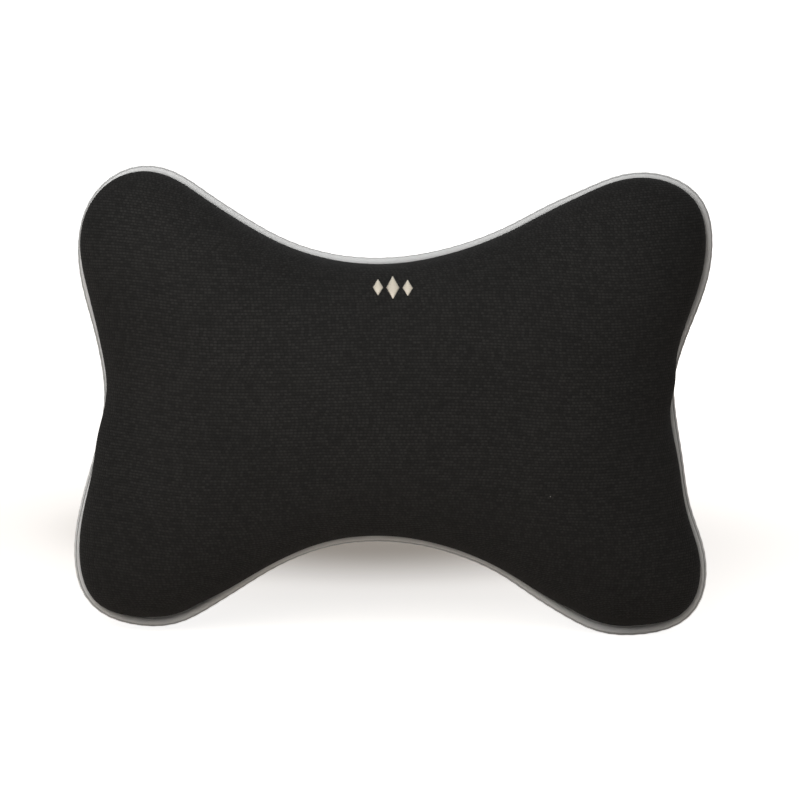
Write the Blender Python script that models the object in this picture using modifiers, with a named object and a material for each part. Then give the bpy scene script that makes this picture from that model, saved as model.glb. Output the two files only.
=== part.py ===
"""Car neck pillow: a bone-shaped stuffed cushion with a piped edge and an elastic strap behind it.

X runs across the pillow, Z up, and its front face looks along -Y. The origin is the middle of
the strap's inner face, where the back of a headrest bears on it. Lengths are in metres.
"""

import math

import bmesh
import bpy
from mathutils import Matrix, Vector
from mathutils.bvhtree import BVHTree

# The piped outline, seen from the front
WIDTH = 0.290
HEIGHT = 0.212
LOBE_RADIUS = 0.034
HOLLOW_DEPTH = 0.0400
LEFT_WAIST_DEPTH = 0.013
RIGHT_WAIST_DEPTH = 0.0175

# The stuffed form: its depth from the seam to its fullest point, and how full it stays towards
# the ends, towards the top and bottom, and beside the seam
FRONT_DEPTH = 0.048
BACK_DEPTH = 0.048
ALONG_POWER = 5.0
UP_POWER = 2.3
EDGE_POWER = 0.45

# The cover and its piping
FABRIC = 0.0012
PIPING_DIAMETER = 0.004
TAPE_THICKNESS = 0.0004
TAPE_WIDTH = 0.004
CLEARANCE = 0.0003
FILLING_EASE = 0.0020

# The strap that holds the pillow on a headrest
STRAP_WIDTH = 0.038
STRAP_THICKNESS = 0.0015
STRAP_SLACK = 0.012
STRAP_CORNER_RADIUS = 0.025
STRAP_SEWN_LENGTH = 0.018
TACK_WIDTH = 0.0025
TACK_THICKNESS = 0.0008
TACK_MARGIN = 0.002
TACK_PLACES = (0.25, 0.75)

# The embroidered lozenges on the front face
MOTIF_X = -0.0015
MOTIF_BELOW_EDGE = 0.0110
MOTIF_SPACING = 0.0065
LARGE_LOZENGE = (0.0056, 0.0088)
SMALL_LOZENGE = (0.0044, 0.0062)
STITCH_HEIGHT = 0.0006

# How finely the forms are divided
STEPS_ACROSS = 28
STEPS_UP = 20
EDGE_CROWDING = 1.5
SEWN_STEPS = 5
CORNER_STEPS = 7

LOBE_X = WIDTH / 2 - LOBE_RADIUS
LOBE_Z = HEIGHT / 2 - LOBE_RADIUS
HOLLOW_HALF_HEIGHT = HEIGHT / 2 - HOLLOW_DEPTH
SEAM_INSET = PIPING_DIAMETER + CLEARANCE
FILLING_INSET = SEAM_INSET + TAPE_WIDTH + CLEARANCE
SEAM_HALF_GAP = TAPE_THICKNESS / 2 + CLEARANCE
SEAM_Y = -(BACK_DEPTH + STRAP_SLACK)
MOTIF_Z = HOLLOW_HALF_HEIGHT - MOTIF_BELOW_EDGE


def clear_scene():
    for obj in list(bpy.data.objects):
        bpy.data.objects.remove(obj, do_unlink=True)


def make_material(name, colour, roughness):
    material = bpy.data.materials.new(name)
    material.use_nodes = True
    shader = material.node_tree.nodes["Principled BSDF"]
    shader.inputs["Base Color"].default_value = (*colour, 1)
    shader.inputs["Roughness"].default_value = roughness
    shader.inputs["Metallic"].default_value = 0
    material.diffuse_color = (*colour, 1)
    return material


def hollow_radius(reach, lobe_along, lobe_across):
    """Radius of a hollow that touches both lobes beside it and crosses its axis at reach."""
    step = reach - lobe_along
    return (lobe_across**2 + step**2 - LOBE_RADIUS**2) / (2 * (LOBE_RADIUS - step))


def waist_circle(side):
    """Centre X and radius of the hollow at the left (-1) or right (1) waist."""
    depth = RIGHT_WAIST_DEPTH if side > 0 else LEFT_WAIST_DEPTH
    reach = WIDTH / 2 - depth
    radius = hollow_radius(reach, LOBE_X, LOBE_Z)
    return side * (reach + radius), radius


def outline_circles():
    """The outline's circles, anticlockwise from the bottom hollow: centre, radius, 1 where it bulges."""
    hollow = hollow_radius(HOLLOW_HALF_HEIGHT, LOBE_Z, LOBE_X)
    hollow_z = HOLLOW_HALF_HEIGHT + hollow
    right_x, right_radius = waist_circle(1)
    left_x, left_radius = waist_circle(-1)
    return [
        (Vector((0, -hollow_z)), hollow, -1),
        (Vector((LOBE_X, -LOBE_Z)), LOBE_RADIUS, 1),
        (Vector((right_x, 0)), right_radius, -1),
        (Vector((LOBE_X, LOBE_Z)), LOBE_RADIUS, 1),
        (Vector((0, hollow_z)), hollow, -1),
        (Vector((-LOBE_X, LOBE_Z)), LOBE_RADIUS, 1),
        (Vector((left_x, 0)), left_radius, -1),
        (Vector((-LOBE_X, -LOBE_Z)), LOBE_RADIUS, 1),
    ]


def outline_arcs():
    """Arcs of the outline in order: centre, radius, start angle, sweep, which is negative in a hollow."""
    circles = outline_circles()
    arcs = []
    for index, (centre, radius, sign) in enumerate(circles):
        before = circles[index - 1][0] - centre
        after = circles[(index + 1) % len(circles)][0] - centre
        start = math.atan2(before.y, before.x)
        end = math.atan2(after.y, after.x)
        arcs.append((centre, radius, start, sign * (sign * (end - start) % math.tau)))
    return arcs


def outline_length():
    return sum(radius * abs(sweep) for _, radius, _, sweep in outline_arcs())


def outline_point(fraction, inset):
    """A point this share of the way round from the middle of the bottom hollow, moved in by inset."""
    arcs = outline_arcs()
    travel = (fraction * outline_length() + arcs[0][1] * abs(arcs[0][3]) / 2) % outline_length()
    for centre, radius, start, sweep in arcs:
        length = radius * abs(sweep)
        if travel <= length:
            break
        travel -= length
    angle = start + sweep * min(1, travel / length)
    return centre + (radius - math.copysign(inset, sweep)) * Vector((math.cos(angle), math.sin(angle)))


def lobe_middles():
    """Shares of the way round at the middles of the bottom right, top right, top left and bottom left lobes."""
    lengths = [radius * abs(sweep) for _, radius, _, sweep in outline_arcs()]
    return [
        (sum(lengths[:index]) + lengths[index] / 2 - lengths[0] / 2) / sum(lengths)
        for index in (1, 3, 5, 7)
    ]


def crowded(share):
    """Moves evenly spaced lines of a face, from -1 to 1, closer together towards its edges."""
    return math.sin(EDGE_CROWDING * share) / math.sin(EDGE_CROWDING)


def edge_fractions():
    """Shares of the way round, in order, at which everything along the seam has its points."""
    low_right, high_right, high_left, low_left = lobe_middles()
    sides = (
        (low_left - 1, low_right, STEPS_ACROSS),
        (low_right, high_right, STEPS_UP),
        (high_right, high_left, STEPS_ACROSS),
        (high_left, low_left, STEPS_UP),
    )
    found = []
    for start, end, steps in sides:
        for step in range(steps):
            share = (crowded(2 * step / steps - 1) + 1) / 2
            found.append((start + (end - start) * share) % 1)
    return sorted(found)


def face_place(across, up, inset):
    """Where a point lies, seen from the front, from its shares, -1 to 1, of the way across and up the face."""
    low_right, high_right, high_left, low_left = lobe_middles()
    u, v = (across + 1) / 2, (up + 1) / 2

    def on_edge(start, end, share):
        return outline_point(start + (end - start) * share, inset)

    bottom = on_edge(low_left - 1, low_right, u)
    top = on_edge(high_left, high_right, u)
    left = on_edge(low_left, high_left, v)
    right = on_edge(low_right, high_right, v)
    low = outline_point(low_left, inset).lerp(outline_point(low_right, inset), u)
    high = outline_point(high_left, inset).lerp(outline_point(high_right, inset), u)
    return bottom.lerp(top, v) + left.lerp(right, u) - low.lerp(high, v)


def fullness(across, up):
    """Share of the full depth that the stuffed form has at this place of its face."""
    edge_room = max(0, 1 - abs(across) ** ALONG_POWER) * max(0, 1 - abs(up) ** UP_POWER)
    return edge_room**EDGE_POWER


def stuffed_form(inset, front_depth, back_depth):
    """The closed cushion, crowned at front and back and drawn in to its seam."""
    form = bmesh.new()
    bmesh.ops.create_grid(form, x_segments=STEPS_ACROSS, y_segments=STEPS_UP, size=1)
    for vertex in form.verts:
        across, up = crowded(vertex.co.x), crowded(vertex.co.y)
        place = face_place(across, up, inset)
        vertex.co = (place.x, -fullness(across, up), place.y)
    front = form.verts[:]
    whole = bmesh.ops.duplicate(form, geom=front + form.edges[:] + form.faces[:])["geom"]
    back = [item for item in whole if isinstance(item, bmesh.types.BMVert)]
    bmesh.ops.scale(form, verts=front, vec=(1, front_depth, 1))
    bmesh.ops.scale(form, verts=back, vec=(1, -back_depth, 1))
    bmesh.ops.remove_doubles(form, verts=form.verts, dist=1e-6)
    bmesh.ops.translate(form, verts=form.verts, vec=(0, SEAM_Y, 0))
    bmesh.ops.recalc_face_normals(form, faces=form.faces)
    return form


def front_face():
    """The front panel's outer face, to set the embroidery on."""
    form = stuffed_form(SEAM_INSET, FRONT_DEPTH - SEAM_HALF_GAP, BACK_DEPTH - SEAM_HALF_GAP)
    bmesh.ops.translate(form, verts=form.verts, vec=(0, -SEAM_HALF_GAP, 0))
    surface = BVHTree.FromBMesh(form)
    form.free()
    return surface


def add_object(name, data, material, collection):
    obj = bpy.data.objects.new(name, data)
    obj.data.materials.append(material)
    collection.objects.link(obj)
    return obj


def add_form(name, form, material, collection):
    mesh = bpy.data.meshes.new(name)
    form.to_mesh(mesh)
    form.free()
    mesh.shade_smooth()
    return add_object(name, mesh, material, collection)


def add_solidify(obj, thickness, offset):
    solidify = obj.modifiers.new("Thickness", "SOLIDIFY")
    solidify.thickness = thickness
    solidify.offset = offset
    solidify.use_even_offset = True


def add_panel(name, side, material, collection):
    """The front (-1) or back (1) half of the cover."""
    form = stuffed_form(SEAM_INSET, FRONT_DEPTH - SEAM_HALF_GAP, BACK_DEPTH - SEAM_HALF_GAP)
    seam_band = FABRIC / 100
    other_half = [v for v in form.verts if side * (v.co.y - SEAM_Y) < -seam_band]
    bmesh.ops.delete(form, geom=other_half, context="VERTS")
    bmesh.ops.translate(form, verts=form.verts, vec=(0, side * SEAM_HALF_GAP, 0))
    panel = add_form(name, form, material, collection)
    add_solidify(panel, FABRIC, -1)
    return panel


def add_filling(material, collection):
    wall = FABRIC + FILLING_EASE
    form = stuffed_form(FILLING_INSET, FRONT_DEPTH - wall, BACK_DEPTH - wall)
    return add_form("filling", form, material, collection)


def add_piping(material, collection):
    """The covered cord round the edge, whose ends butt in the middle of the bottom hollow."""
    half_gap = CLEARANCE / 2 / outline_length()
    first = PIPING_DIAMETER / outline_length()
    steps = [fraction for fraction in edge_fractions() if first < fraction < 1 - first]
    curve = bpy.data.curves.new("piping", "CURVE")
    curve.dimensions = "3D"
    curve.bevel_depth = PIPING_DIAMETER / 2
    curve.bevel_resolution = 2
    curve.use_fill_caps = True
    spline = curve.splines.new("POLY")
    fractions = [half_gap, *steps, 1 - half_gap]
    spline.points.add(len(fractions) - 1)
    for point, fraction in zip(spline.points, fractions):
        edge = outline_point(fraction, PIPING_DIAMETER / 2)
        point.co = (edge.x, SEAM_Y, edge.y, 1)
    return add_object("piping", curve, material, collection)


def add_piping_tape(material, collection):
    """The piping's flat allowance, which lies in the seam between the two panels."""
    form = bmesh.new()
    rings = []
    for inset in (SEAM_INSET, SEAM_INSET + TAPE_WIDTH):
        points = [outline_point(fraction, inset) for fraction in edge_fractions()]
        ring = [form.verts.new((point.x, SEAM_Y, point.y)) for point in points]
        edges = [form.edges.new((ring[index - 1], ring[index])) for index in range(len(ring))]
        rings.append(edges)
    bmesh.ops.bridge_loops(form, edges=rings[0] + rings[1])
    bmesh.ops.recalc_face_normals(form, faces=form.faces)
    tape = add_form("piping_tape", form, material, collection)
    add_solidify(tape, TAPE_THICKNESS, 0)
    return tape


def waist_x(side, y):
    """How far out the back panel reaches under the strap, this far behind the seam."""
    share = (y - SEAM_HALF_GAP) / (BACK_DEPTH - SEAM_HALF_GAP)
    reach = 0
    for step in range(-12, 13):
        up = step / 40
        room = share ** (1 / EDGE_POWER) / (1 - abs(up) ** UP_POWER)
        place = face_place(side * (1 - room) ** (1 / ALONG_POWER), up, SEAM_INSET)
        if abs(place.y) <= STRAP_WIDTH / 2 + CLEARANCE:
            reach = max(reach, abs(place.x))
    return reach


def strap_side(side):
    """Points of the strap's inner face from one sewn end to its flat middle, and the tack places."""
    start_y = PIPING_DIAMETER / 2 + CLEARANCE
    sewn = []
    for index in range(SEWN_STEPS + 1):
        y = start_y + STRAP_SEWN_LENGTH * index / SEWN_STEPS
        sewn.append(Vector((waist_x(side, y) + 2 * CLEARANCE, y)))
    flat_y = BACK_DEPTH + STRAP_SLACK
    rising = (sewn[-1] - sewn[-2]).normalized()
    corner = sewn[-1] + rising * (flat_y - sewn[-1].y) / rising.y
    turn = rising.angle(Vector((-1, 0)))
    trim = STRAP_CORNER_RADIUS * math.tan(turn / 2)
    first = corner - rising * trim
    towards_centre = Vector((-rising.y, rising.x))
    centre = first + towards_centre * STRAP_CORNER_RADIUS
    bend = []
    for index in range(CORNER_STEPS + 1):
        spoke = -towards_centre
        spoke.rotate(Matrix.Rotation(turn * index / CORNER_STEPS, 2))
        bend.append(centre + spoke * STRAP_CORNER_RADIUS)
    return [Vector((side * point.x, point.y)) for point in sewn + bend], SEWN_STEPS + 1


def add_strap(material, collection):
    """The elastic: sewn to the back panel at both waists, and standing off it between them."""
    right, _ = strap_side(1)
    left, _ = strap_side(-1)
    form = bmesh.new()
    row = [form.verts.new((point.x, SEAM_Y + point.y, -STRAP_WIDTH / 2)) for point in right + left[::-1]]
    edges = [form.edges.new(pair) for pair in zip(row, row[1:])]
    drawn = bmesh.ops.extrude_edge_only(form, edges=edges)["geom"]
    moved = [item for item in drawn if isinstance(item, bmesh.types.BMVert)]
    bmesh.ops.translate(form, verts=moved, vec=(0, 0, STRAP_WIDTH))
    strap = add_form("headrest_strap", form, material, collection)
    add_solidify(strap, STRAP_THICKNESS, -1)
    return strap


def add_tack(name, side, place, material, collection):
    """A row of dense stitches across the strap's sewn end, this share of the way along it."""
    points, sewn_count = strap_side(side)
    sewn = points[:sewn_count]
    index = min(int(place * SEWN_STEPS), SEWN_STEPS - 1)
    along = (sewn[index + 1] - sewn[index]).normalized()
    outward = Vector((along.y, -along.x)) * side
    middle = sewn[index].lerp(sewn[index + 1], place * SEWN_STEPS - index)
    middle += outward * (STRAP_THICKNESS + CLEARANCE + TACK_THICKNESS / 2)
    form = bmesh.new()
    bmesh.ops.create_cube(form, size=1)
    bmesh.ops.scale(form, verts=form.verts, vec=(TACK_THICKNESS, TACK_WIDTH, STRAP_WIDTH - 2 * TACK_MARGIN))
    tack = add_form(name, form, material, collection)
    tack.location = (middle.x, SEAM_Y + middle.y, 0)
    tack.rotation_euler.z = math.atan2(outward.y, outward.x)
    bevel = tack.modifiers.new("Rounding", "BEVEL")
    bevel.width = TACK_THICKNESS / 3
    bevel.segments = 1
    return tack


def add_lozenge(name, x, size, surface, material, collection):
    """One satin-stitched lozenge, lying on the front panel."""
    width, height = size
    place, normal, _, _ = surface.ray_cast(Vector((x, SEAM_Y - WIDTH, MOTIF_Z)), Vector((0, 1, 0)))
    across = Vector((0, 0, 1)).cross(normal).normalized()
    form = bmesh.new()
    bmesh.ops.create_cone(form, cap_ends=True, segments=4, radius1=0.5, radius2=0.5, depth=STITCH_HEIGHT)
    bmesh.ops.scale(form, verts=form.verts, vec=(width, height, 1))
    bmesh.ops.translate(form, verts=form.verts, vec=(0, 0, CLEARANCE + STITCH_HEIGHT / 2))
    lozenge = add_form(name, form, material, collection)
    axes = Matrix((across, normal.cross(across), normal)).transposed().to_4x4()
    lozenge.matrix_world = Matrix.Translation(place) @ axes
    bevel = lozenge.modifiers.new("Rounding", "BEVEL")
    bevel.width = STITCH_HEIGHT / 3
    bevel.segments = 1
    return lozenge


def build():
    clear_scene()
    pillow = bpy.data.collections.new("car_neck_pillow")
    bpy.context.scene.collection.children.link(pillow)

    knit = make_material("black_knit", (0.021, 0.020, 0.019), 0.85)
    piping_cloth = make_material("grey_piping", (0.55, 0.55, 0.54), 0.6)
    elastic = make_material("black_elastic", (0.016, 0.016, 0.017), 0.7)
    thread = make_material("black_thread", (0.012, 0.012, 0.012), 0.5)
    embroidery = make_material("cream_thread", (0.80, 0.74, 0.62), 0.45)
    fibre = make_material("white_fibre", (0.80, 0.80, 0.78), 0.9)

    add_panel("front_panel", -1, knit, pillow)
    add_panel("back_panel", 1, knit, pillow)
    add_filling(fibre, pillow)
    add_piping(piping_cloth, pillow)
    add_piping_tape(piping_cloth, pillow)
    add_strap(elastic, pillow)
    for word, side in (("left", -1), ("right", 1)):
        for number, place in enumerate(TACK_PLACES, 1):
            add_tack(f"strap_tack_{word}_{number}", side, place, thread, pillow)
    surface = front_face()
    add_lozenge("motif_left", MOTIF_X - MOTIF_SPACING, SMALL_LOZENGE, surface, embroidery, pillow)
    add_lozenge("motif_middle", MOTIF_X, LARGE_LOZENGE, surface, embroidery, pillow)
    add_lozenge("motif_right", MOTIF_X + MOTIF_SPACING, SMALL_LOZENGE, surface, embroidery, pillow)


build()
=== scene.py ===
"""Looks of a bone-shaped car neck pillow: knit cover, piping, elastic strap and stitched motif.

X runs across the pillow, Z up, and its front face looks along -Y. Lengths are in metres.
"""

import math

import bmesh
import bpy
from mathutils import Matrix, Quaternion, Vector
from mathutils.bvhtree import BVHTree


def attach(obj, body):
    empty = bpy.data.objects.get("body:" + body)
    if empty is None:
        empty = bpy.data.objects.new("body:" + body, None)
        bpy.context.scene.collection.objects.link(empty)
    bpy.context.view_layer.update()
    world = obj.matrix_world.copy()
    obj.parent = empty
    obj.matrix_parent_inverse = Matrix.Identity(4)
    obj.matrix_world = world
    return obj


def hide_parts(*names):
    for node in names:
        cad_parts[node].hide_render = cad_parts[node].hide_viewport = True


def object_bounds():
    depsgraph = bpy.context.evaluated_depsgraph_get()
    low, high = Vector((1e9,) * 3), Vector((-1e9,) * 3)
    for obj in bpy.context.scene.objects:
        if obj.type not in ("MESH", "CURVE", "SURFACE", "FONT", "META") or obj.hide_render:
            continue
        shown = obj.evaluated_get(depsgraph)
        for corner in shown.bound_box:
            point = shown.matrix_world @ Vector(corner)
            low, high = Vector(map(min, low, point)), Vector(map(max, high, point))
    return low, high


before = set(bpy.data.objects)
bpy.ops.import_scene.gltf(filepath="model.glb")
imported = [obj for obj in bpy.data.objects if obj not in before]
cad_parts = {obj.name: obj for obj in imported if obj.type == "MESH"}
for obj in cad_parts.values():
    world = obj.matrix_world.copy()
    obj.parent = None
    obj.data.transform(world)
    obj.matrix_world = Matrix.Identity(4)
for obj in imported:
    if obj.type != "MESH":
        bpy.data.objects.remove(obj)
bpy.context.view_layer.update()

# The piped outline, seen from the front, as in the part
WIDTH = 0.290
HEIGHT = 0.212
LOBE_RADIUS = 0.034
HOLLOW_DEPTH = 0.0400
LEFT_WAIST_DEPTH = 0.013
RIGHT_WAIST_DEPTH = 0.0175
SEAM_Y = -0.060
LOBE_X = WIDTH / 2 - LOBE_RADIUS
LOBE_Z = HEIGHT / 2 - LOBE_RADIUS
HOLLOW_HALF_HEIGHT = HEIGHT / 2 - HOLLOW_DEPTH

# How far the sewn edge strays outward from that outline, in millimetres, at equal steps round it
SEWN_STRAY = (
    -2.0, 0.2, 2.7, 6.4, 4.5, 0.9, 4.4, -0.2, -0.9, 2.4,
    0.9, 0.7, 1.7, -1.7, 1.1, -0.5, 0.5, 5.1, 3.8, 1.7,
    -0.7, -2.3, -2.1, -0.2, -0.6, 0.0, -2.3, -3.5, 0.3, -1.0,
    -2.6, 0.3, 1.4, -1.7, 0.2, -1.7, 1.9, 2.9, -0.1, -2.2,
)
EDGE_POINTS = 720
EASE_ROUNDS = 60

# How far the stuffed cover hangs out past its seam, in millimetres, at equal steps round it
OVERHANG = (
    -0.6, 0.1, 1.0, 0.6, -1.5, -1.4, 0.4, 2.1, 2.4, 2.3,
    1.0, 1.4, 0.8, 1.3, 2.4, 4.0, 4.8, 4.0, 3.7, 3.4,
    2.9, 3.1, 3.3, 3.3, 3.5, 4.2, 5.0, 4.8, 2.7, 3.0,
    2.8, 3.5, 3.6, 2.8, 1.8, -0.8, -1.5, 0.7, 0.6, -0.6,
)

# Share of that overhang which the cover's back half has
BACK_OVERHANG = 0.4

# Where the filling pushes the cover out over the piping, at the right and the left waist: share of
# the way round, half the length, how far out the cover stands and how far in the seam lies
WAIST_BULGES = (
    (0.2620, 0.0090, 0.0034, 0.0020),
    (0.7640, 0.0150, 0.0028, 0.0004),
)
COVER_OUT, SEAM_IN = 2, 3

# The stuffed cover
FULL_DEPTH = 0.0470
ALONG_FULLNESS = 5.0
UP_FULLNESS = 2.3
EDGE_ROUNDING = 0.45
GRID_ACROSS = 96
GRID_UP = 96
EDGE_CROWDING = 1.5
HANG_ROUNDING = 0.3
TINY = 1e-6
SEAM_SHARE = 0.9999
FABRIC = 0.0012
SEAM_HALF_GAP = 0.0005
STUFFING_GAP = 0.003

# How the filling's pressure swells the cover
SWELL_STEPS = 20
SWELL_LIMIT = 0.003
EASE_FOLDS = 3
CLOTH = {
    "quality": 5,
    "mass": 0.3,
    "tension_stiffness": 10,
    "compression_stiffness": 10,
    "shear_stiffness": 5,
    "bending_stiffness": 2,
    "use_pressure": True,
    "uniform_pressure_force": 4,
}

# The piping
PIPING_DIAMETER = 0.004
SEAM_INSET = 0.0043
PIPING_RINGS = 900
PIPING_SIDES = 24
JOIN_START = -0.0135
JOIN_END = 0.0145
JOIN_LEAN = 0.0015
JOIN_FOLD = 0.00014
CREASE_ANGLE = 0.75
CREASE_SPREAD = 0.12
CREASE_DEPTH = 0.00040
CREASE_CROWDING = 0.7

# How far the crease wanders on its way round: in two waves, in five and in one (cosine and sine)
CREASE_IN_TWO, CREASE_IN_FIVE, CREASE_IN_ONE = 0.2, 0.06, (0.22, 0.05)

PUCKER_DEPTH = 0.00006
PUCKER_PITCH = 0.0052
TAPE_RINGS = 300
TAPE_WIDTH = 0.004
TAPE_THICKNESS = 0.0004
TAPE_TUCK = 0.0004

# The strap and its stitches
STRAP_WIDTH = 0.038
STRAP_THICKNESS = 0.0015
STRAP_RIGHT = ((0.1252, -0.0577), (0.1247, -0.0505), (0.1218, -0.0397), (0.1113, -0.0152))
STRAP_LEFT = ((0.1293, -0.0577), (0.1288, -0.0505), (0.1259, -0.0397), (0.1160, -0.0155))
STRAP_STEPS = (6, 6, 8)
CORNER_STEPS = 12
SPAN_STEPS = 24
STRAP_RIBS = 30
RIB_STEPS = 4
RIB_DEPTH = 0.00010

# Steps from the strap's end where it stops lying on the cover, where the cover stops drawing it in
# and where it is past the cover; then how far the cover may draw it in or push it out, and the air
STRAP_LAID, STRAP_FREE, STRAP_PAST = 12, 20, 26
STRAP_DRAWN_IN, STRAP_PUSHED_OUT = 0.003, 0.006
STRAP_AIR = 0.0004

TACK_WIDTH = 0.0025
TACK_PLACES = (0.25, 0.75)
TACK_STITCHES = 44
TACK_MARGIN = 0.004
TACK_LEAN = 0.0004
TACK_RADIUS = 0.0003
TACK_LIFT = 0.0003
TACK_AIR = 0.0001

# The stitched lozenges
MOTIF_X = -0.0015
MOTIF_Z = HOLLOW_HALF_HEIGHT - 0.0110
MOTIF_SPACING = 0.0065
LARGE_LOZENGE = (0.0056, 0.0088)
SMALL_LOZENGE = (0.0044, 0.0062)
THREAD_PITCH = 0.00034
THREAD_RADIUS = 0.00020
THREAD_LIFT = 0.0004
THREAD_AIR = 0.0002
SHORTEST_THREAD = 0.0001

# Where rays that find a surface start, beside the pillow and in front of it
BESIDE = 0.2
IN_FRONT = -0.3

# Pitches of the cloths
KNIT_ROW = 0.00135
KNIT_STITCH = 0.0017
KNIT_WANDER = 0.0016
BIAS_THREAD = 0.00055
ELASTIC_THREAD = 0.0007

# The floor's shaded place behind the pillow, where withholding the lift paints a deeper shadow over
# the lamps' own, and how the floor is lifted to white away from it: from and to which distance, in
# that place's own reach, by how much and in which way
SHADE_CENTRE = (-0.006, 0.20)
SHADE_REACH = (0.11, 0.10)
FLOOR_LIFTS = (
    (0.5, 1.7, 0.55, "SMOOTHSTEP"),
    (1.3, 2.8, 0.30, "LINEAR"),
    (2.0, 9.0, 0.40, "SMOOTHSTEP"),
)
FLOOR_SIZE = 40
FLOOR_DROP = 0.0002

# The room's own light, how it changes along X, Y and Z, and the least there is
ROOM_LIGHT = 0.2
ROOM_SLOPES = (-0.04, -0.09, 0.16)
LEAST_LIGHT = 0.02

# Lamps: name, azimuth, elevation, distance, size, power
LAMPS = (
    ("key_light", -17, 28, 0.58, 0.4, 2.25),
    ("top_light", -20, 65, 1.2, 1.0, 1.1),
    ("back_light", 165, 15, 1.2, 1.0, 2.4),
)


# The sewn outline


def hollow_radius(reach, lobe_along, lobe_across):
    """Radius of a hollow that touches both lobes beside it and crosses its axis at reach."""
    step = reach - lobe_along
    return (lobe_across**2 + step**2 - LOBE_RADIUS**2) / (2 * (LOBE_RADIUS - step))


def waist_circle(side):
    depth = RIGHT_WAIST_DEPTH if side > 0 else LEFT_WAIST_DEPTH
    reach = WIDTH / 2 - depth
    radius = hollow_radius(reach, LOBE_X, LOBE_Z)
    return Vector((side * (reach + radius), 0)), radius


def outline_arcs():
    """Arcs anticlockwise from the bottom hollow: centre, radius, start, sweep (- in a hollow)."""
    hollow = hollow_radius(HOLLOW_HALF_HEIGHT, LOBE_Z, LOBE_X)
    hollow_z = HOLLOW_HALF_HEIGHT + hollow
    circles = [
        (Vector((0, -hollow_z)), hollow, -1),
        (Vector((LOBE_X, -LOBE_Z)), LOBE_RADIUS, 1),
        (*waist_circle(1), -1),
        (Vector((LOBE_X, LOBE_Z)), LOBE_RADIUS, 1),
        (Vector((0, hollow_z)), hollow, -1),
        (Vector((-LOBE_X, LOBE_Z)), LOBE_RADIUS, 1),
        (*waist_circle(-1), -1),
        (Vector((-LOBE_X, -LOBE_Z)), LOBE_RADIUS, 1),
    ]
    arcs = []
    for index, (centre, radius, sign) in enumerate(circles):
        before = circles[index - 1][0] - centre
        after = circles[(index + 1) % len(circles)][0] - centre
        start = math.atan2(before.y, before.x)
        end = math.atan2(after.y, after.x)
        arcs.append((centre, radius, start, sign * (sign * (end - start) % math.tau)))
    return arcs


ARCS = outline_arcs()
ARC_LENGTHS = [radius * abs(sweep) for _, radius, _, sweep in ARCS]
OUTLINE_LENGTH = sum(ARC_LENGTHS)


def arc_middle(index):
    """Share of the way round, from the middle of the bottom hollow, where an arc has its middle."""
    return (sum(ARC_LENGTHS[:index]) + ARC_LENGTHS[index] / 2 - ARC_LENGTHS[0] / 2) / OUTLINE_LENGTH


def round_edge(steps, fraction):
    """A length from millimetres at equal steps round the edge, on a smooth curve through them."""
    place = fraction % 1 * len(steps)
    index, t = int(place), place % 1
    a, b, c, d = (steps[(index + step) % len(steps)] for step in (-1, 0, 1, 2))
    cubic = 2 * b + (c - a) * t + (2 * a - 5 * b + 4 * c - d) * t**2
    cubic += (3 * b - a - 3 * c + d) * t**3
    return cubic / 2000


def waist_bulge(fraction, column):
    """How far the waists' bulges move the cover or the seam at this share of the way round."""
    total = 0
    for bulge in WAIST_BULGES:
        off = ((fraction - bulge[0] + 0.5) % 1 - 0.5) * OUTLINE_LENGTH / bulge[1]
        total += bulge[column] * math.exp(-off * off)
    return total


def arc_point(fraction):
    """A point this share of the way round the arcs, and the way outward there."""
    travel = (fraction * OUTLINE_LENGTH + ARC_LENGTHS[0] / 2) % OUTLINE_LENGTH
    for (centre, radius, start, sweep), length in zip(ARCS, ARC_LENGTHS):
        if travel <= length:
            break
        travel -= length
    angle = start + sweep * min(1, travel / length)
    spoke = Vector((math.cos(angle), math.sin(angle)))
    return centre + spoke * radius, spoke * math.copysign(1, sweep)


def sewn_edge():
    """Points at equal shares round the sewn edge, eased so that its curves run into each other."""
    points = []
    for index in range(EDGE_POINTS):
        fraction = index / EDGE_POINTS
        point, outward = arc_point(fraction)
        stray = round_edge(SEWN_STRAY, fraction) - waist_bulge(fraction, SEAM_IN)
        points.append(point + outward * stray)
    for _ in range(EASE_ROUNDS):
        points = [
            points[index - 1].lerp(points[(index + 1) % EDGE_POINTS], 0.5).lerp(points[index], 0.5)
            for index in range(EDGE_POINTS)
        ]
    return points


SEWN_EDGE = sewn_edge()


def edge_point(fraction, inset):
    """A point this share of the way round the sewn edge, moved in by inset, and the way outward."""
    place = fraction % 1 * EDGE_POINTS
    index, share = int(place), place % 1
    behind, here, there, ahead = (SEWN_EDGE[(index + step) % EDGE_POINTS] for step in (-1, 0, 1, 2))
    along = (there - behind).lerp(ahead - here, share).normalized()
    outward = Vector((along.y, -along.x))
    return here.lerp(there, share) - outward * inset, outward


# The stuffed cover


BOTTOM_RIGHT, TOP_RIGHT, TOP_LEFT, BOTTOM_LEFT = (arc_middle(index) for index in (1, 3, 5, 7))


def face_place(across, up, inset):
    """Where a point of the face lies, seen from the front, by its shares (0 to 1) across and up."""

    def on_edge(start, end, share):
        return edge_point(start + (end - start) * share, inset)[0]

    bottom = on_edge(BOTTOM_LEFT - 1, BOTTOM_RIGHT, across)
    top = on_edge(TOP_LEFT, TOP_RIGHT, across)
    left = on_edge(BOTTOM_LEFT, TOP_LEFT, up)
    right = on_edge(BOTTOM_RIGHT, TOP_RIGHT, up)
    low = on_edge(BOTTOM_LEFT, 0, 0).lerp(on_edge(BOTTOM_RIGHT, 0, 0), across)
    high = on_edge(TOP_LEFT, 0, 0).lerp(on_edge(TOP_RIGHT, 0, 0), across)
    return bottom.lerp(top, up) + left.lerp(right, across) - low.lerp(high, up)


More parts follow.
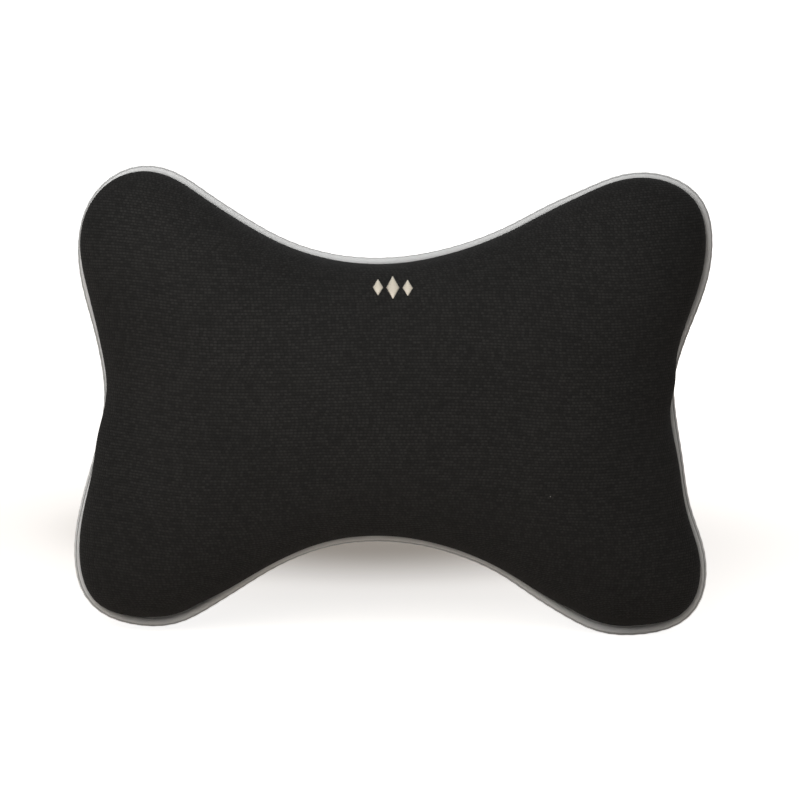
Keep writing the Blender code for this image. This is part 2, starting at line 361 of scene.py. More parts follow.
def hang_out(across, up):
    """Which way, and how far at most, the cover hangs out past the seam beside this point."""
    along = TOP_LEFT + (TOP_RIGHT - TOP_LEFT) * across
    if up < 0.5:
        along = BOTTOM_LEFT - 1 + (BOTTOM_RIGHT - BOTTOM_LEFT + 1) * across
    beside = BOTTOM_LEFT + (TOP_LEFT - BOTTOM_LEFT) * up
    if across > 0.5:
        beside = BOTTOM_RIGHT + (TOP_RIGHT - BOTTOM_RIGHT) * up
    a, u = abs(2 * across - 1), abs(2 * up - 1)
    sideways = ALONG_FULLNESS * a ** (ALONG_FULLNESS - 1) * max(0, 1 - u**UP_FULLNESS)
    upward = UP_FULLNESS * u ** (UP_FULLNESS - 1) * max(0, 1 - a**ALONG_FULLNESS)
    if sideways + upward < TINY:
        return Vector((0, 0))
    amounts = []
    for fraction in (beside, along):
        amount = round_edge(OVERHANG, fraction) + waist_bulge(fraction, COVER_OUT)
        amounts.append(edge_point(fraction, 0)[1] * amount)
    return (amounts[0] * sideways + amounts[1] * upward) / (sideways + upward)


def crowded(share):
    """Moves evenly spaced lines of the grid, from -1 to 1, closer together towards its edges."""
    return math.sin(EDGE_CROWDING * share) / math.sin(EDGE_CROWDING)


def cover_form():
    """The closed cover before it swells; each point keeps its place in its half's grid."""
    form = bmesh.new()
    grid = form.verts.layers.float_vector.new("grid")
    hang = form.verts.layers.float_vector.new("hang")
    bmesh.ops.create_grid(form, x_segments=GRID_ACROSS, y_segments=GRID_UP, size=1)
    for vertex in form.verts:
        vertex[grid] = vertex.co
        across, up = crowded(vertex.co.x), crowded(vertex.co.y)
        place = face_place((across + 1) / 2, (up + 1) / 2, SEAM_INSET)
        fullness = max(0, 1 - abs(across) ** ALONG_FULLNESS) * max(0, 1 - abs(up) ** UP_FULLNESS)
        out = hang_out((across + 1) / 2, (up + 1) / 2)
        out *= math.sin(math.pi * fullness**HANG_ROUNDING)
        vertex[hang] = (out.x, 0, out.y)
        vertex.co = (place.x, -FULL_DEPTH * fullness**EDGE_ROUNDING, place.y)
    front = form.verts[:]
    whole = bmesh.ops.duplicate(form, geom=front + form.edges[:] + form.faces[:])["geom"]
    back = [item for item in whole if isinstance(item, bmesh.types.BMVert)]
    bmesh.ops.scale(form, verts=back, vec=(1, -1, 1))
    for points, share in ((front, 1), (back, BACK_OVERHANG)):
        for vertex in points:
            vertex.co += vertex[hang] * share
    bmesh.ops.remove_doubles(form, verts=form.verts, dist=TINY)
    bmesh.ops.translate(form, verts=form.verts, vec=(0, SEAM_Y, 0))
    bmesh.ops.recalc_face_normals(form, faces=form.faces)
    return form


def on_seam(place):
    """Whether this place in the grid is on its edge, where the seam holds the cover."""
    return max(abs(place.x), abs(place.y)) > SEAM_SHARE


def new_piece(name, form, material, smooth=True):
    mesh = bpy.data.meshes.new(name)
    form.to_mesh(mesh)
    form.free()
    if smooth:
        mesh.shade_smooth()
    mesh.materials.append(material)
    piece = bpy.data.objects.new(name, mesh)
    bpy.context.scene.collection.objects.link(piece)
    return piece


def swell(form):
    """Lets the filling's pressure swell the cover, which its seam holds, up to its limit."""
    cover = new_piece("swelling_cover", form, None)
    grid = cover.data.attributes["grid"].data
    held = [index for index, place in enumerate(grid) if on_seam(place.vector)]
    cover.vertex_groups.new(name="seam").add(held, 1, "REPLACE")
    cloth = cover.modifiers.new("Filling", "CLOTH")
    for name, value in CLOTH.items():
        setattr(cloth.settings, name, value)
    cloth.settings.vertex_group_mass = "seam"
    cloth.settings.effector_weights.gravity = 0
    cloth.point_cache.frame_start, cloth.point_cache.frame_end = 1, SWELL_STEPS
    for step in range(1, SWELL_STEPS + 1):
        bpy.context.scene.frame_set(step)
    swollen = cover.evaluated_get(bpy.context.evaluated_depsgraph_get())
    for vertex, moved in zip(cover.data.vertices, swollen.data.vertices):
        move = moved.co - vertex.co
        if move.length > SWELL_LIMIT:
            move *= SWELL_LIMIT / move.length
        vertex.co += move
    form = bmesh.new()
    form.from_mesh(cover.data)
    bpy.data.objects.remove(cover)
    bpy.context.scene.frame_set(1)
    grid = form.verts.layers.float_vector["grid"]
    free = [vertex for vertex in form.verts if not on_seam(vertex[grid])]
    axes = {f"use_axis_{axis}": True for axis in "xyz"}
    for _ in range(EASE_FOLDS):
        bmesh.ops.smooth_vert(form, verts=free, factor=0.5, **axes)
    return form


def lay_knit(form):
    """Lays the knit on one half: metres of cloth across and up from its middle, as its UV map."""
    grid = form.verts.layers.float_vector["grid"]
    spots = {}
    for vertex in form.verts:
        column = round((vertex[grid].x + 1) / 2 * GRID_ACROSS)
        row = round((vertex[grid].y + 1) / 2 * GRID_UP)
        spots[column, row] = vertex
    cloth = {}
    for column in range(GRID_ACROSS + 1):
        for row in range(GRID_UP + 1):
            cloth[spots[column, row]] = [0, 0]
    for direction in (-1, 1):
        for row in range(GRID_UP + 1):
            travelled = 0
            for step in range(GRID_ACROSS // 2):
                column = GRID_ACROSS // 2 + direction * step
                here, there = spots[column, row], spots[column + direction, row]
                travelled += (there.co - here.co).length
                cloth[there][0] = direction * travelled
        for column in range(GRID_ACROSS + 1):
            travelled = 0
            for step in range(GRID_UP // 2):
                row = GRID_UP // 2 + direction * step
                here, there = spots[column, row], spots[column, row + direction]
                travelled += (there.co - here.co).length
                cloth[there][1] = direction * travelled
    uv = form.loops.layers.uv.new("cloth")
    for face in form.faces:
        for loop in face.loops:
            loop[uv].uv = cloth[loop.vert]


def cover_half(cover, side, name, material):
    """The front (-1) or back (1) panel, cut from the swollen cover at its seam."""
    half = cover.copy()
    other = [face for face in half.faces if side * (face.calc_center_median().y - SEAM_Y) < 0]
    bmesh.ops.delete(half, geom=other, context="FACES")
    bmesh.ops.translate(half, verts=half.verts, vec=(0, side * SEAM_HALF_GAP, 0))
    lay_knit(half)
    panel = new_piece(name, half, material)
    smoothing = panel.modifiers.new("Smoothing", "SUBSURF")
    smoothing.levels = smoothing.render_levels = 1
    wall = panel.modifiers.new("Fabric", "SOLIDIFY")
    wall.thickness = FABRIC
    wall.offset = -1
    return panel


def add_stuffing(cover, material):
    """The filling: the cover's own form, shrunk by the cloth and a little air."""
    form = cover.copy()
    form.normal_update()
    for vertex in form.verts:
        vertex.co -= vertex.normal * STUFFING_GAP
    return new_piece("stuffing", form, material)


# The piping


def loop_form(rings, sides, place):
    """A closed ring of tube: place(along, around) gives its points from their shares, 0 to 1."""
    form = bmesh.new()
    uv = form.loops.layers.uv.new("cloth")
    spot = form.verts.layers.float_vector.new("spot")
    bmesh.ops.create_grid(form, x_segments=rings, y_segments=sides, size=0.5, calc_uvs=True)
    for vertex in form.verts:
        along, around = vertex.co.x + 0.5, vertex.co.y + 0.5
        vertex[spot] = (along, around, 0)
        vertex.co = place(along, around)
    bmesh.ops.remove_doubles(form, verts=form.verts, dist=TINY)
    bmesh.ops.recalc_face_normals(form, faces=form.faces)
    return form, uv


def round_piping(around):
    """Turns equal steps round the piping, from its crease, into angles that crowd at the crease."""
    return around * math.tau - CREASE_CROWDING * math.sin(around * math.tau)


def crease_depth(around):
    """Share of its full depth that the crease of the wrapped strip has here."""
    off_crease = (round_piping(around) + math.pi) % math.tau - math.pi
    return math.exp(-((off_crease / CREASE_SPREAD) ** 2))


def crease_place(travel):
    """The crease's angle from the piping's outermost line, which wanders on its way round."""
    angle = CREASE_ANGLE - CREASE_IN_TWO * math.cos(2 * travel)
    angle += CREASE_IN_FIVE * math.sin(5 * travel + 1)
    return angle + (CREASE_IN_ONE[0] * math.cos(travel) + CREASE_IN_ONE[1] * math.sin(travel))


def piping_place(along, around):
    """A point of the piping's surface, which swells and settles a little between its stitches."""
    edge, outward = edge_point(along, PIPING_DIAMETER / 2)
    angle = crease_place(along * math.tau) + round_piping(around)
    from_bottom = ((along + 0.5) % 1 - 0.5) * OUTLINE_LENGTH + JOIN_LEAN * math.cos(angle)
    folded = 1 if JOIN_START < from_bottom < JOIN_END else 0
    pucker = PUCKER_DEPTH * math.sin(along * OUTLINE_LENGTH / PUCKER_PITCH * math.tau)
    radius = PIPING_DIAMETER / 2 + pucker - CREASE_DEPTH * crease_depth(around) + JOIN_FOLD * folded
    across = edge + outward * radius * math.cos(angle)
    return Vector((across.x, SEAM_Y - radius * math.sin(angle), across.y))


def add_piping(material):
    form, uv = loop_form(PIPING_RINGS, PIPING_SIDES, piping_place)
    spot = form.verts.layers.float_vector["spot"]
    # Painted shade: each point keeps how deep in the crease it lies, so the piping's material can
    # darken it there.
    painted_crease_shade = form.verts.layers.float.new("painted_crease_shade")
    for vertex in form.verts:
        vertex[painted_crease_shade] = crease_depth(vertex[spot].y)
    for face in form.faces:
        for loop in face.loops:
            loop[uv].uv.x *= OUTLINE_LENGTH
            loop[uv].uv.y = round_piping(loop[uv].uv.y) * PIPING_DIAMETER / 2
    return new_piece("piping_cord", form, material)


def add_flange(material):
    """The piping's flat allowance between the two panels."""

    def place(along, around):
        corner = int(around * 4 + 0.5) % 4
        inset = SEAM_INSET - TAPE_TUCK if corner in (0, 3) else SEAM_INSET + TAPE_WIDTH
        edge, _ = edge_point(along, inset)
        return Vector((edge.x, SEAM_Y + TAPE_THICKNESS / 2 * (-1 if corner < 2 else 1), edge.y))

    form, _ = loop_form(TAPE_RINGS, 4, place)
    return new_piece("piping_flange", form, material, smooth=False)


# The strap


def strap_line():
    """The strap's inner face from its right end to its left one, as points in X and Y."""
    sides = []
    for side, points in ((1, STRAP_RIGHT), (-1, STRAP_LEFT)):
        points = [Vector((x, y)) for x, y in points]
        before, last = points[-2:]
        corner = last + (last - before) * (last.y / (before.y - last.y))
        line = []
        for start, end, steps in zip(points, points[1:], STRAP_STEPS):
            line += [start.lerp(end, step / steps) for step in range(steps)]
        end = Vector((corner.x - (corner - last).length, 0))
        for step in range(CORNER_STEPS + 1):
            share = step / CORNER_STEPS
            line.append(last.lerp(corner, share).lerp(corner.lerp(end, share), share))
        sides.append([Vector((side * point.x, point.y)) for point in line])
    right, left = sides
    middle = [right[-1].lerp(left[-1], step / SPAN_STEPS) for step in range(1, SPAN_STEPS)]
    return right + middle + left[::-1]


def lay_on_cover(cover_surface, x, y, z, from_end):
    """A strap point's place across the pillow, once the cover draws it in or pushes it out."""
    if from_end >= STRAP_PAST:
        return x
    side = 1 if x > 0 else -1
    hit = cover_surface.ray_cast(Vector((side * BESIDE, y, z)), Vector((-side, 0, 0)))[0]
    if not hit:
        return x
    held = max(0, min(1, (STRAP_FREE - from_end) / (STRAP_FREE - STRAP_LAID)))
    gap = max(-STRAP_DRAWN_IN, min(STRAP_PUSHED_OUT, side * (hit.x - x) + STRAP_AIR))
    return x + side * gap * (1 if gap > 0 else held)


def add_strap(cover_surface, material):
    line = strap_line()
    last = len(line) - 1
    form = bmesh.new()
    uv = form.loops.layers.uv.new("cloth")
    steps = STRAP_RIBS * RIB_STEPS
    bmesh.ops.create_grid(form, x_segments=last, y_segments=steps, size=0.5, calc_uvs=True)
    lengths = [0]
    for here, there in zip(line, line[1:]):
        lengths.append(lengths[-1] + (there - here).length)
    for face in form.faces:
        for loop in face.loops:
            index = round(loop[uv].uv.x * last)
            loop[uv].uv = (lengths[index], (loop[uv].uv.y - 0.5) * STRAP_WIDTH)
    for vertex in form.verts:
        index = round((vertex.co.x + 0.5) * last)
        width_share = vertex.co.y
        before, after = line[max(0, index - 1)], line[min(last, index + 1)]
        along = (after - before).normalized()
        outward = Vector((along.y, -along.x))
        y, z = line[index].y, width_share * STRAP_WIDTH
        x = lay_on_cover(cover_surface, line[index].x, y, z, min(index, last - index))
        rib = RIB_DEPTH * (math.cos(width_share * STRAP_RIBS * math.tau) - 1)
        vertex.co = (x + outward.x * rib, y + outward.y * rib, z)
    bmesh.ops.recalc_face_normals(form, faces=form.faces)
    strap = new_piece("elastic_strap", form, material)
    wall = strap.modifiers.new("Elastic", "SOLIDIFY")
    wall.thickness = STRAP_THICKNESS
    wall.offset = -1
    return strap


def stitch_form(stitches, radius):
    """Rounded threads in one form, each from its start to its end, raised in its middle."""
    form = bmesh.new()
    for start, end, lift in stitches:
        along = end - start
        made = bmesh.ops.create_uvsphere(form, u_segments=8, v_segments=6, radius=1)["verts"]
        side = along.cross(lift).normalized()
        up = side.cross(along).normalized()
        half = along.length / 2 + radius
        for vertex in made:
            x, y, z = vertex.co
            reach = math.copysign(abs(z) ** 0.5, z)
            middle = start.lerp(end, 0.5) + along.normalized() * reach * half + lift * (1 - z * z)
            vertex.co = middle + side * x * radius + up * y * radius
    return form


# Materials


def node(tree, kind, settings=None, sockets=None):
    """A shader node with these settings and with each socket linked or set."""
    made = tree.nodes.new(kind)
    for name, value in (settings or {}).items():
        setattr(made, name, value)
    for key, value in (sockets or {}).items():
        if isinstance(value, bpy.types.NodeSocket):
            tree.links.new(value, made.inputs[key])
        else:
            made.inputs[key].default_value = value
    return made


def maths(tree, operation, *values):
    sockets = dict(enumerate(values))
    return node(tree, "ShaderNodeMath", {"operation": operation}, sockets).outputs[0]


def blend_colours(tree, factor, low, high):
    """Blends two colours, each of them a socket or three values."""
    low, high = (end if isinstance(end, bpy.types.NodeSocket) else (*end, 1) for end in (low, high))
    sockets = {0: factor, 6: low, 7: high}
    return node(tree, "ShaderNodeMix", {"data_type": "RGBA"}, sockets).outputs[2]


def new_material(name, roughness, **constants):
    material = bpy.data.materials.new(name)
    material.use_nodes = True
    shader = material.node_tree.nodes["Principled BSDF"]
    shader.inputs["Roughness"].default_value = roughness
    for key, value in constants.items():
        shader.inputs[key.replace("_", " ").title().replace("Ior", "IOR")].default_value = value
    return material, material.node_tree, shader


def new_group(name, inputs, outputs):
    group = bpy.data.node_groups.new(name, "ShaderNodeTree")
    for word, kind, value in inputs:
        made = group.interface.new_socket(word, in_out="INPUT", socket_type=kind)
        if value is not None:
            made.default_value = value
    for word, kind in outputs:
        group.interface.new_socket(word, in_out="OUTPUT", socket_type=kind)
    return group, group.nodes.new("NodeGroupInput"), group.nodes.new("NodeGroupOutput")


def fibre_group():
    """Fine loose fibres and slow unevenness, for every cloth."""
    group, given, result = new_group(
        "fine_fibres",
        [("Vector", "NodeSocketVector", None), ("Fibre Scale", "NodeSocketFloat", 4000.0)],
        [("Fibres", "NodeSocketFloat"), ("Unevenness", "NodeSocketFloat")],
    )
    where, fibre_scale = given.outputs[:2]
    sockets = {"Vector": where, "Scale": fibre_scale, "Detail": 3.0, "Roughness": 0.6}
    fibres = node(group, "ShaderNodeTexNoise", None, sockets)
    sockets = {"Vector": where, "Scale": 22.0, "Detail": 2.0}
    slow = node(group, "ShaderNodeTexNoise", None, sockets)
    group.links.new(fibres.outputs["Fac"], result.inputs[0])
    group.links.new(slow.outputs["Fac"], result.inputs[1])
    return group


def use_group(tree, group, **sockets):
    made = tree.nodes.new("ShaderNodeGroup")
    made.node_tree = group
    for key, value in sockets.items():
        key = key.replace("_", " ").title()
        if isinstance(value, bpy.types.NodeSocket):
            tree.links.new(value, made.inputs[key])
        else:
            made.inputs[key].default_value = value
    return made


def cloth_uv(tree):
    return node(tree, "ShaderNodeUVMap", {"uv_map": "cloth"}).outputs[0]


def finish_surface(tree, shader, colour, height, distance):
    """Gives the surface its colour and a relief of this depth."""
    bump = node(tree, "ShaderNodeBump", None, {"Distance": distance, "Height": height})
    tree.links.new(colour, shader.inputs["Base Color"])
    tree.links.new(bump.outputs[0], shader.inputs["Normal"])


def white_noise(tree, dimensions, **sockets):
    settings = {"noise_dimensions": dimensions}
    return node(tree, "ShaderNodeTexWhiteNoise", settings, sockets).outputs["Value"]


def knit_material(fibres):
    """Fine black knit: flat stitches in level rows, no two quite alike, with painted shade between
    them and specks of lint.
    """
    material, tree, shader = new_material(
        "black_knit", 0.85, sheen_weight=0.02, sheen_roughness=0.5, specular_ior_level=0.12
    )
    where = cloth_uv(tree)
    loose = use_group(tree, fibres, vector=where, fibre_scale=3500.0)
    parts = node(tree, "ShaderNodeSeparateXYZ", None, {0: where})
    wander = maths(tree, "MULTIPLY", maths(tree, "SUBTRACT", loose.outputs[1], 0.5), KNIT_WANDER)
    row = maths(tree, "DIVIDE", maths(tree, "ADD", parts.outputs[1], wander), KNIT_ROW)
    row_number = maths(tree, "FLOOR", row)
    shift = white_noise(tree, "1D", W=row_number)
    stitch = maths(tree, "ADD", maths(tree, "DIVIDE", parts.outputs[0], KNIT_STITCH), shift)
    stitch_number = maths(tree, "FLOOR", stitch)
    spot = node(tree, "ShaderNodeCombineXYZ", None, {0: stitch_number, 1: row_number})
    fleck = white_noise(tree, "2D", Vector=spot.outputs[0])
    rounds = []
    for count, flatness in ((row, 0.8), (stitch, 0.5)):
        turn = maths(tree, "MULTIPLY", maths(tree, "FRACT", count), math.pi)
        rounds.append(maths(tree, "POWER", maths(tree, "SINE", turn), flatness))
    raised = maths(tree, "MULTIPLY", *rounds)
    height = maths(tree, "ADD", raised, maths(tree, "MULTIPLY", loose.outputs[0], 0.35))
    raised = maths(tree, "MULTIPLY", raised, maths(tree, "MULTIPLY_ADD", fleck, 0.8, 0.3))
    # Painted shade: the tone is darkest in the gaps between stitches and rows and lightest on their
    # tops; the fibres, each stitch's own fleck and the slow unevenness add tones at random.
    tone = maths(tree, "MULTIPLY_ADD", loose.outputs[0], 0.5, maths(tree, "MULTIPLY", raised, 0.75))
    tone = maths(tree, "MULTIPLY", tone, maths(tree, "MULTIPLY_ADD", loose.outputs[1], 0.5, 0.75))
    colour = blend_colours(tree, tone, (0.0032, 0.0031, 0.0030), (0.0240, 0.0232, 0.0220))
    lint = node(tree, "ShaderNodeTexVoronoi", None, {"Vector": where, "Scale": 60.0})
    speck = maths(tree, "LESS_THAN", lint.outputs["Distance"], 0.014)
    kept = maths(tree, "GREATER_THAN", lint.outputs["Color"], 0.66)
    speck = maths(tree, "MULTIPLY", speck, kept)
    colour = blend_colours(tree, speck, colour, (0.22, 0.21, 0.20))
    finish_surface(tree, shader, colour, height, 0.00022)
    return material


def piping_material(fibres):
    """Grey woven strip wrapped on the bias round the cord, with painted shade between its threads
    and along the crease of the strip.
    """
    material, tree, shader = new_material(
        "grey_piping", 0.65, sheen_weight=0.05, specular_ior_level=0.3
    )
    where = cloth_uv(tree)
    loose = use_group(tree, fibres, vector=where, fibre_scale=6000.0)
    parts = node(tree, "ShaderNodeSeparateXYZ", None, {0: where})
    threads = []
    for lean in (1.0, -1.0):
        across = maths(tree, "MULTIPLY_ADD", parts.outputs[1], lean, parts.outputs[0])
        wave = maths(tree, "SINE", maths(tree, "MULTIPLY", across, math.tau / BIAS_THREAD))
        threads.append(maths(tree, "MULTIPLY_ADD", wave, 0.5, 0.5))
    weave = maths(tree, "MAXIMUM", *threads)
    height = maths(tree, "MULTIPLY_ADD", loose.outputs[0], 0.4, weave)
    # Painted shade: the tone is lighter where the bias threads stand high and darker between them;
    # loose fibres and unevenness add tones at random.
    tone = maths(tree, "MULTIPLY_ADD", weave, 0.5, maths(tree, "MULTIPLY", loose.outputs[0], 0.5))
    tone = maths(tree, "MULTIPLY", tone, maths(tree, "MULTIPLY_ADD", loose.outputs[1], 0.6, 0.7))
    # Painted shade: the strip darkens to near black along its crease.
    painted_crease_shade = node(tree, "ShaderNodeAttribute", {"attribute_name": "painted_crease_shade"}).outputs["Fac"]
    colour = blend_colours(tree, tone, (0.42, 0.42, 0.415), (0.88, 0.88, 0.87))
    colour = blend_colours(tree, painted_crease_shade, colour, (0.14, 0.14, 0.14))
    finish_surface(tree, shader, colour, height, 0.00008)
    return material


def elastic_material(fibres):
    """Black ribbed elastic: lengthwise cords under close crosswise threads, with painted shade
    between the cords.
    """
    material, tree, shader = new_material("black_elastic", 0.7, sheen_weight=0.15)
    where = cloth_uv(tree)
    loose = use_group(tree, fibres, vector=where, fibre_scale=5000.0)
    parts = node(tree, "ShaderNodeSeparateXYZ", None, {0: where})
    crosswise = maths(tree, "MULTIPLY", parts.outputs[0], math.tau / ELASTIC_THREAD)
    crosswise = maths(tree, "SINE", crosswise)
    rib = maths(tree, "MULTIPLY", parts.outputs[1], math.tau * STRAP_RIBS / STRAP_WIDTH)
    rib = maths(tree, "COSINE", rib)
    fibre = maths(tree, "MULTIPLY", loose.outputs[0], 0.4)
    height = maths(tree, "MULTIPLY_ADD", crosswise, 0.35, fibre)
    fibre = maths(tree, "MULTIPLY_ADD", loose.outputs[0], 0.6, 0.15)
    # Painted shade: the tone is darker in the grooves between the lengthwise cords, which the
    # strap's form also has, and lighter on the cords.
    tone = maths(tree, "MULTIPLY_ADD", rib, 0.3, fibre)
    colour = blend_colours(tree, tone, (0.008, 0.008, 0.0085), (0.026, 0.026, 0.027))
    finish_surface(tree, shader, colour, height, 0.00012)
    return material


def thread_material(name, fibres, dark, light, roughness):
    """Twisted thread, which shines along its stitches."""
    material, tree, shader = new_material(name, roughness, sheen_weight=0.1)
    where = node(tree, "ShaderNodeTexCoord").outputs["Object"]
    loose = use_group(tree, fibres, vector=where, fibre_scale=9000.0)
    fibre = maths(tree, "MULTIPLY", loose.outputs[0], 0.6)
    tone = maths(tree, "MULTIPLY_ADD", loose.outputs[1], 0.4, fibre)
    colour = blend_colours(tree, tone, dark, light)
    finish_surface(tree, shader, colour, loose.outputs[0], 0.00005)
    return material


def fibrefill_material(fibres):
    material, tree, shader = new_material("white_fibre", 0.9, sheen_weight=0.3)
    where = node(tree, "ShaderNodeTexCoord").outputs["Object"]
    loose = use_group(tree, fibres, vector=where, fibre_scale=900.0)
    colour = blend_colours(tree, loose.outputs[0], (0.70, 0.70, 0.68), (0.86, 0.86, 0.84))
    finish_surface(tree, shader, colour, loose.outputs[0], 0.001)
    return material


def floor_material():
    """Plain floor, lifted to white for the camera except close behind the pillow, where the missing
    lift paints a deeper shadow over the lamps' own shade.
    """
    material, tree, shader = new_material("pale_floor", 0.9)
    shader.inputs["Base Color"].default_value = (0.77, 0.70, 0.63, 1)
    shader.inputs["Specular IOR Level"].default_value = 0.0
    path = node(tree, "ShaderNodeLightPath")
    where = node(tree, "ShaderNodeTexCoord").outputs["Object"]
    parts = node(tree, "ShaderNodeSeparateXYZ", None, {0: where})
    # Painted shadow: distance from the shaded place behind the pillow, near which the floor gets
    # less or no lift.
    aside, behind = (
        maths(tree, "DIVIDE", maths(tree, "SUBTRACT", parts.outputs[axis], centre), reach)
        for axis, (centre, reach) in enumerate(zip(SHADE_CENTRE, SHADE_REACH))
    )
    square = maths(tree, "MULTIPLY_ADD", aside, aside, maths(tree, "POWER", behind, 2.0))
    away = maths(tree, "SQRT", square)
    clear = 0.0
    for start, end, amount, way in FLOOR_LIFTS:
        sockets = {0: away, 1: start, 2: end, 3: 0.0, 4: amount}
        lift = node(tree, "ShaderNodeMapRange", {"interpolation_type": way}, sockets).outputs[0]
        clear = maths(tree, "ADD", clear, lift)
    shader.inputs["Emission Color"].default_value = (1, 1, 1, 1)
    lift = maths(tree, "MULTIPLY", path.outputs["Is Camera Ray"], clear)
    tree.links.new(lift, shader.inputs["Emission Strength"])
    return material


# The room


def direction(azimuth, elevation):
    """The way to an azimuth (0 in front, positive to the right) and an elevation, in degrees."""
    a, e = math.radians(azimuth), math.radians(elevation)
    return Vector((math.sin(a) * math.cos(e), -math.cos(a) * math.cos(e), math.sin(e)))


def add_light(name, azimuth, elevation, distance, size, power):
    """A round soft lamp that faces the pillow."""
    lamp = bpy.data.lights.new(name, "AREA")
    lamp.shape = "DISK"
    lamp.size = size
    lamp.energy = power
    light = bpy.data.objects.new(name, lamp)
    back = direction(azimuth, elevation)
    light.location = Vector((0, SEAM_Y, 0)) + back * distance
    light.visible_camera = False
    light.rotation_mode = "QUATERNION"
    light.rotation_quaternion = (-back).to_track_quat("-Z", "Y")
    bpy.context.scene.collection.objects.link(light)


def add_camera(azimuth, elevation, roll, distance, target, lens):
    camera = bpy.data.objects.new("camera", bpy.data.cameras.new("camera"))
    back = direction(azimuth, elevation)
    camera.location = Vector(target) + back * distance
    camera.rotation_mode = "QUATERNION"
    level = (-back).to_track_quat("-Z", "Y")
    camera.rotation_quaternion = level @ Quaternion((0, 0, 1), math.radians(roll))
    camera.data.lens = lens
    camera.data.sensor_width = 36
    bpy.context.scene.collection.objects.link(camera)
    bpy.context.scene.camera = camera


def light_room():
    """Soft light from all sides, brighter from above, and three lamps; the camera sees white."""
    world = bpy.data.worlds.new("studio")
    bpy.context.scene.world = world
    world.use_nodes = True
    tree = world.node_tree
    path = node(tree, "ShaderNodeLightPath")
    where = node(tree, "ShaderNodeTexCoord").outputs["Generated"]
    toward = node(tree, "ShaderNodeSeparateXYZ", None, {0: where})
    light = ROOM_LIGHT
    for axis, slope in enumerate(ROOM_SLOPES):
        light = maths(tree, "MULTIPLY_ADD", toward.outputs[axis], slope, light)
    light = maths(tree, "MAXIMUM", light, LEAST_LIGHT)
    sockets = {0: path.outputs["Is Camera Ray"], 2: light, 3: 1.0}
    shade = node(tree, "ShaderNodeMix", None, sockets).outputs[0]
    background = tree.nodes["Background"]
    background.inputs["Color"].default_value = (1, 1, 1, 1)
    tree.links.new(shade, background.inputs["Strength"])
    for lamp in LAMPS:
        add_light(*lamp)


def add_floor():
    form = bmesh.new()
    bmesh.ops.create_grid(form, x_segments=1, y_segments=1, size=FLOOR_SIZE)
    low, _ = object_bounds()
    bmesh.ops.translate(form, verts=form.verts, vec=(0, 0, low.z - FLOOR_DROP))
    floor = new_piece("floor", form, floor_material(), smooth=False)


# The pieces


def add_tacks(strap_surface, material):
    """Two dense rows of stitches across each sewn end of the strap."""
    for word, side, points in (("left", -1, STRAP_LEFT), ("right", 1, STRAP_RIGHT)):
        for number, place in enumerate(TACK_PLACES, 1):
            y = points[0][1] + (points[2][1] - points[0][1]) * place
            stitches = []
            lift = Vector((side * TACK_LIFT, 0, 0))
            for index in range(TACK_STITCHES):
                z = (index / (TACK_STITCHES - 1) - 0.5) * (STRAP_WIDTH - TACK_MARGIN)
                lean = TACK_LEAN if index % 2 else -TACK_LEAN
                ends = []
                for way in (-1, 1):
                    start = Vector((side * BESIDE, y + way * TACK_WIDTH / 2, z + way * lean))
                    hit = strap_surface.ray_cast(start, Vector((-side, 0, 0)))[0]
                    ends.append(hit + Vector((side * TACK_AIR, 0, 0)))
                stitches.append((*ends, lift))
            form = stitch_form(stitches, TACK_RADIUS)
            tack = new_piece(f"tack_stitches_{word}_{number}", form, material)
            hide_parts(f"strap_tack_{word}_{number}")
            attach(tack, "root")


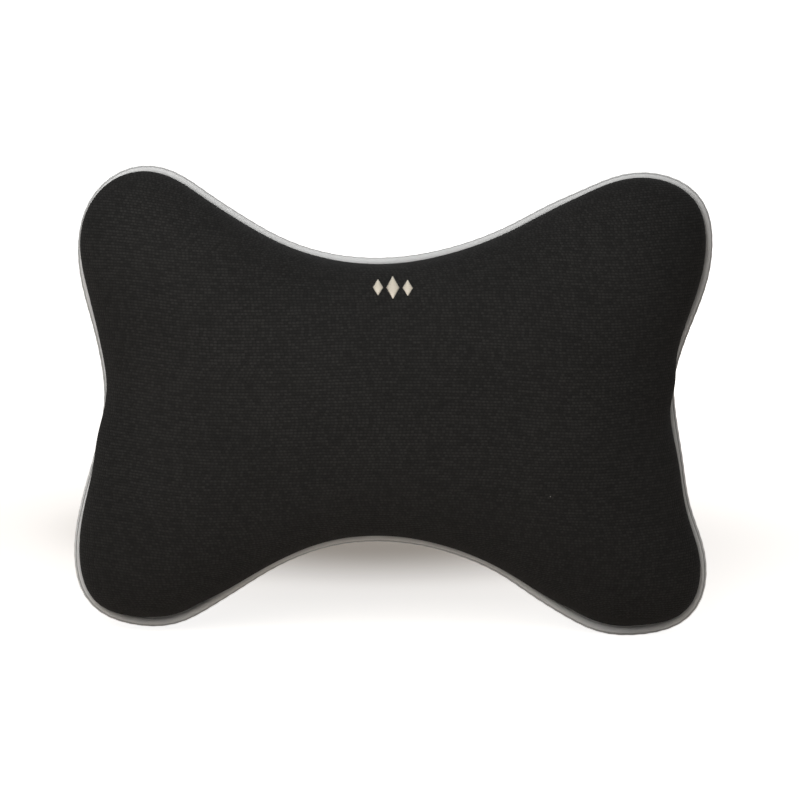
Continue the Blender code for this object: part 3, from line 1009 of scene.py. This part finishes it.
def add_lozenge(name, node_name, x, size, front_surface, material):
    """A satin-stitched lozenge: close level threads that lie on the knit."""
    width, height = size
    rows = int(height / THREAD_PITCH)
    stitches = []
    for index in range(rows):
        z = ((index + 0.5) / rows - 0.5) * height
        half = max(width / 2 * (1 - abs(z) / (height / 2)), SHORTEST_THREAD)
        ends = []
        for way in (-1, 1):
            start = Vector((x + way * half, IN_FRONT, MOTIF_Z + z))
            hit = front_surface.ray_cast(start, Vector((0, 1, 0)))[0]
            ends.append(hit + Vector((0, -THREAD_AIR, 0)))
        stitches.append((*ends, Vector((0, -THREAD_LIFT, 0))))
    form = stitch_form(stitches, THREAD_RADIUS)
    lozenge = new_piece(name, form, material)
    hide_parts(node_name)
    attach(lozenge, "root")


def surface_of(piece):
    return BVHTree.FromObject(piece, bpy.context.evaluated_depsgraph_get())


def dress_pillow():
    fibres = fibre_group()
    knit = knit_material(fibres)
    grey = piping_material(fibres)
    elastic = elastic_material(fibres)
    black_thread = thread_material(
        "black_thread", fibres, (0.006, 0.006, 0.006), (0.02, 0.02, 0.02), 0.5
    )
    cream_thread = thread_material(
        "cream_thread", fibres, (0.66, 0.60, 0.49), (0.84, 0.78, 0.67), 0.45
    )
    fill = fibrefill_material(fibres)

    cover = cover_form()
    cover = swell(cover)
    front = cover_half(cover, -1, "cover_front", knit)
    back = cover_half(cover, 1, "cover_back", knit)
    stuffing = add_stuffing(cover, fill)
    cover.free()
    for piece, node_name, slot_name in (
        (front, "front_panel", "black_knit"),
        (back, "back_panel", "black_knit"),
        (stuffing, "filling", "white_fibre"),
    ):
        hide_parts(node_name)
        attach(piece, "root")

    piping = add_piping(grey)
    flange = add_flange(grey)
    for piece, node_name in ((piping, "piping"), (flange, "piping_tape")):
        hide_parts(node_name)
        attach(piece, "root")

    back_surface = surface_of(back)
    strap = add_strap(back_surface, elastic)
    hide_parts("headrest_strap")
    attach(strap, "root")
    add_tacks(surface_of(strap), black_thread)

    front_surface = surface_of(front)
    for word, step, size in (
        ("left", -1, SMALL_LOZENGE),
        ("middle", 0, LARGE_LOZENGE),
        ("right", 1, SMALL_LOZENGE),
    ):
        x = MOTIF_X + step * MOTIF_SPACING
        add_lozenge(f"lozenge_{word}", f"motif_{word}", x, size, front_surface, cream_thread)


add_camera(
    azimuth=-2, elevation=8, roll=0.858, distance=1.4, target=(0.0035, SEAM_Y, 0.0007), lens=139.65
)
dress_pillow()
add_floor()
light_room()

bpy.context.scene.view_settings.view_transform = "Standard"
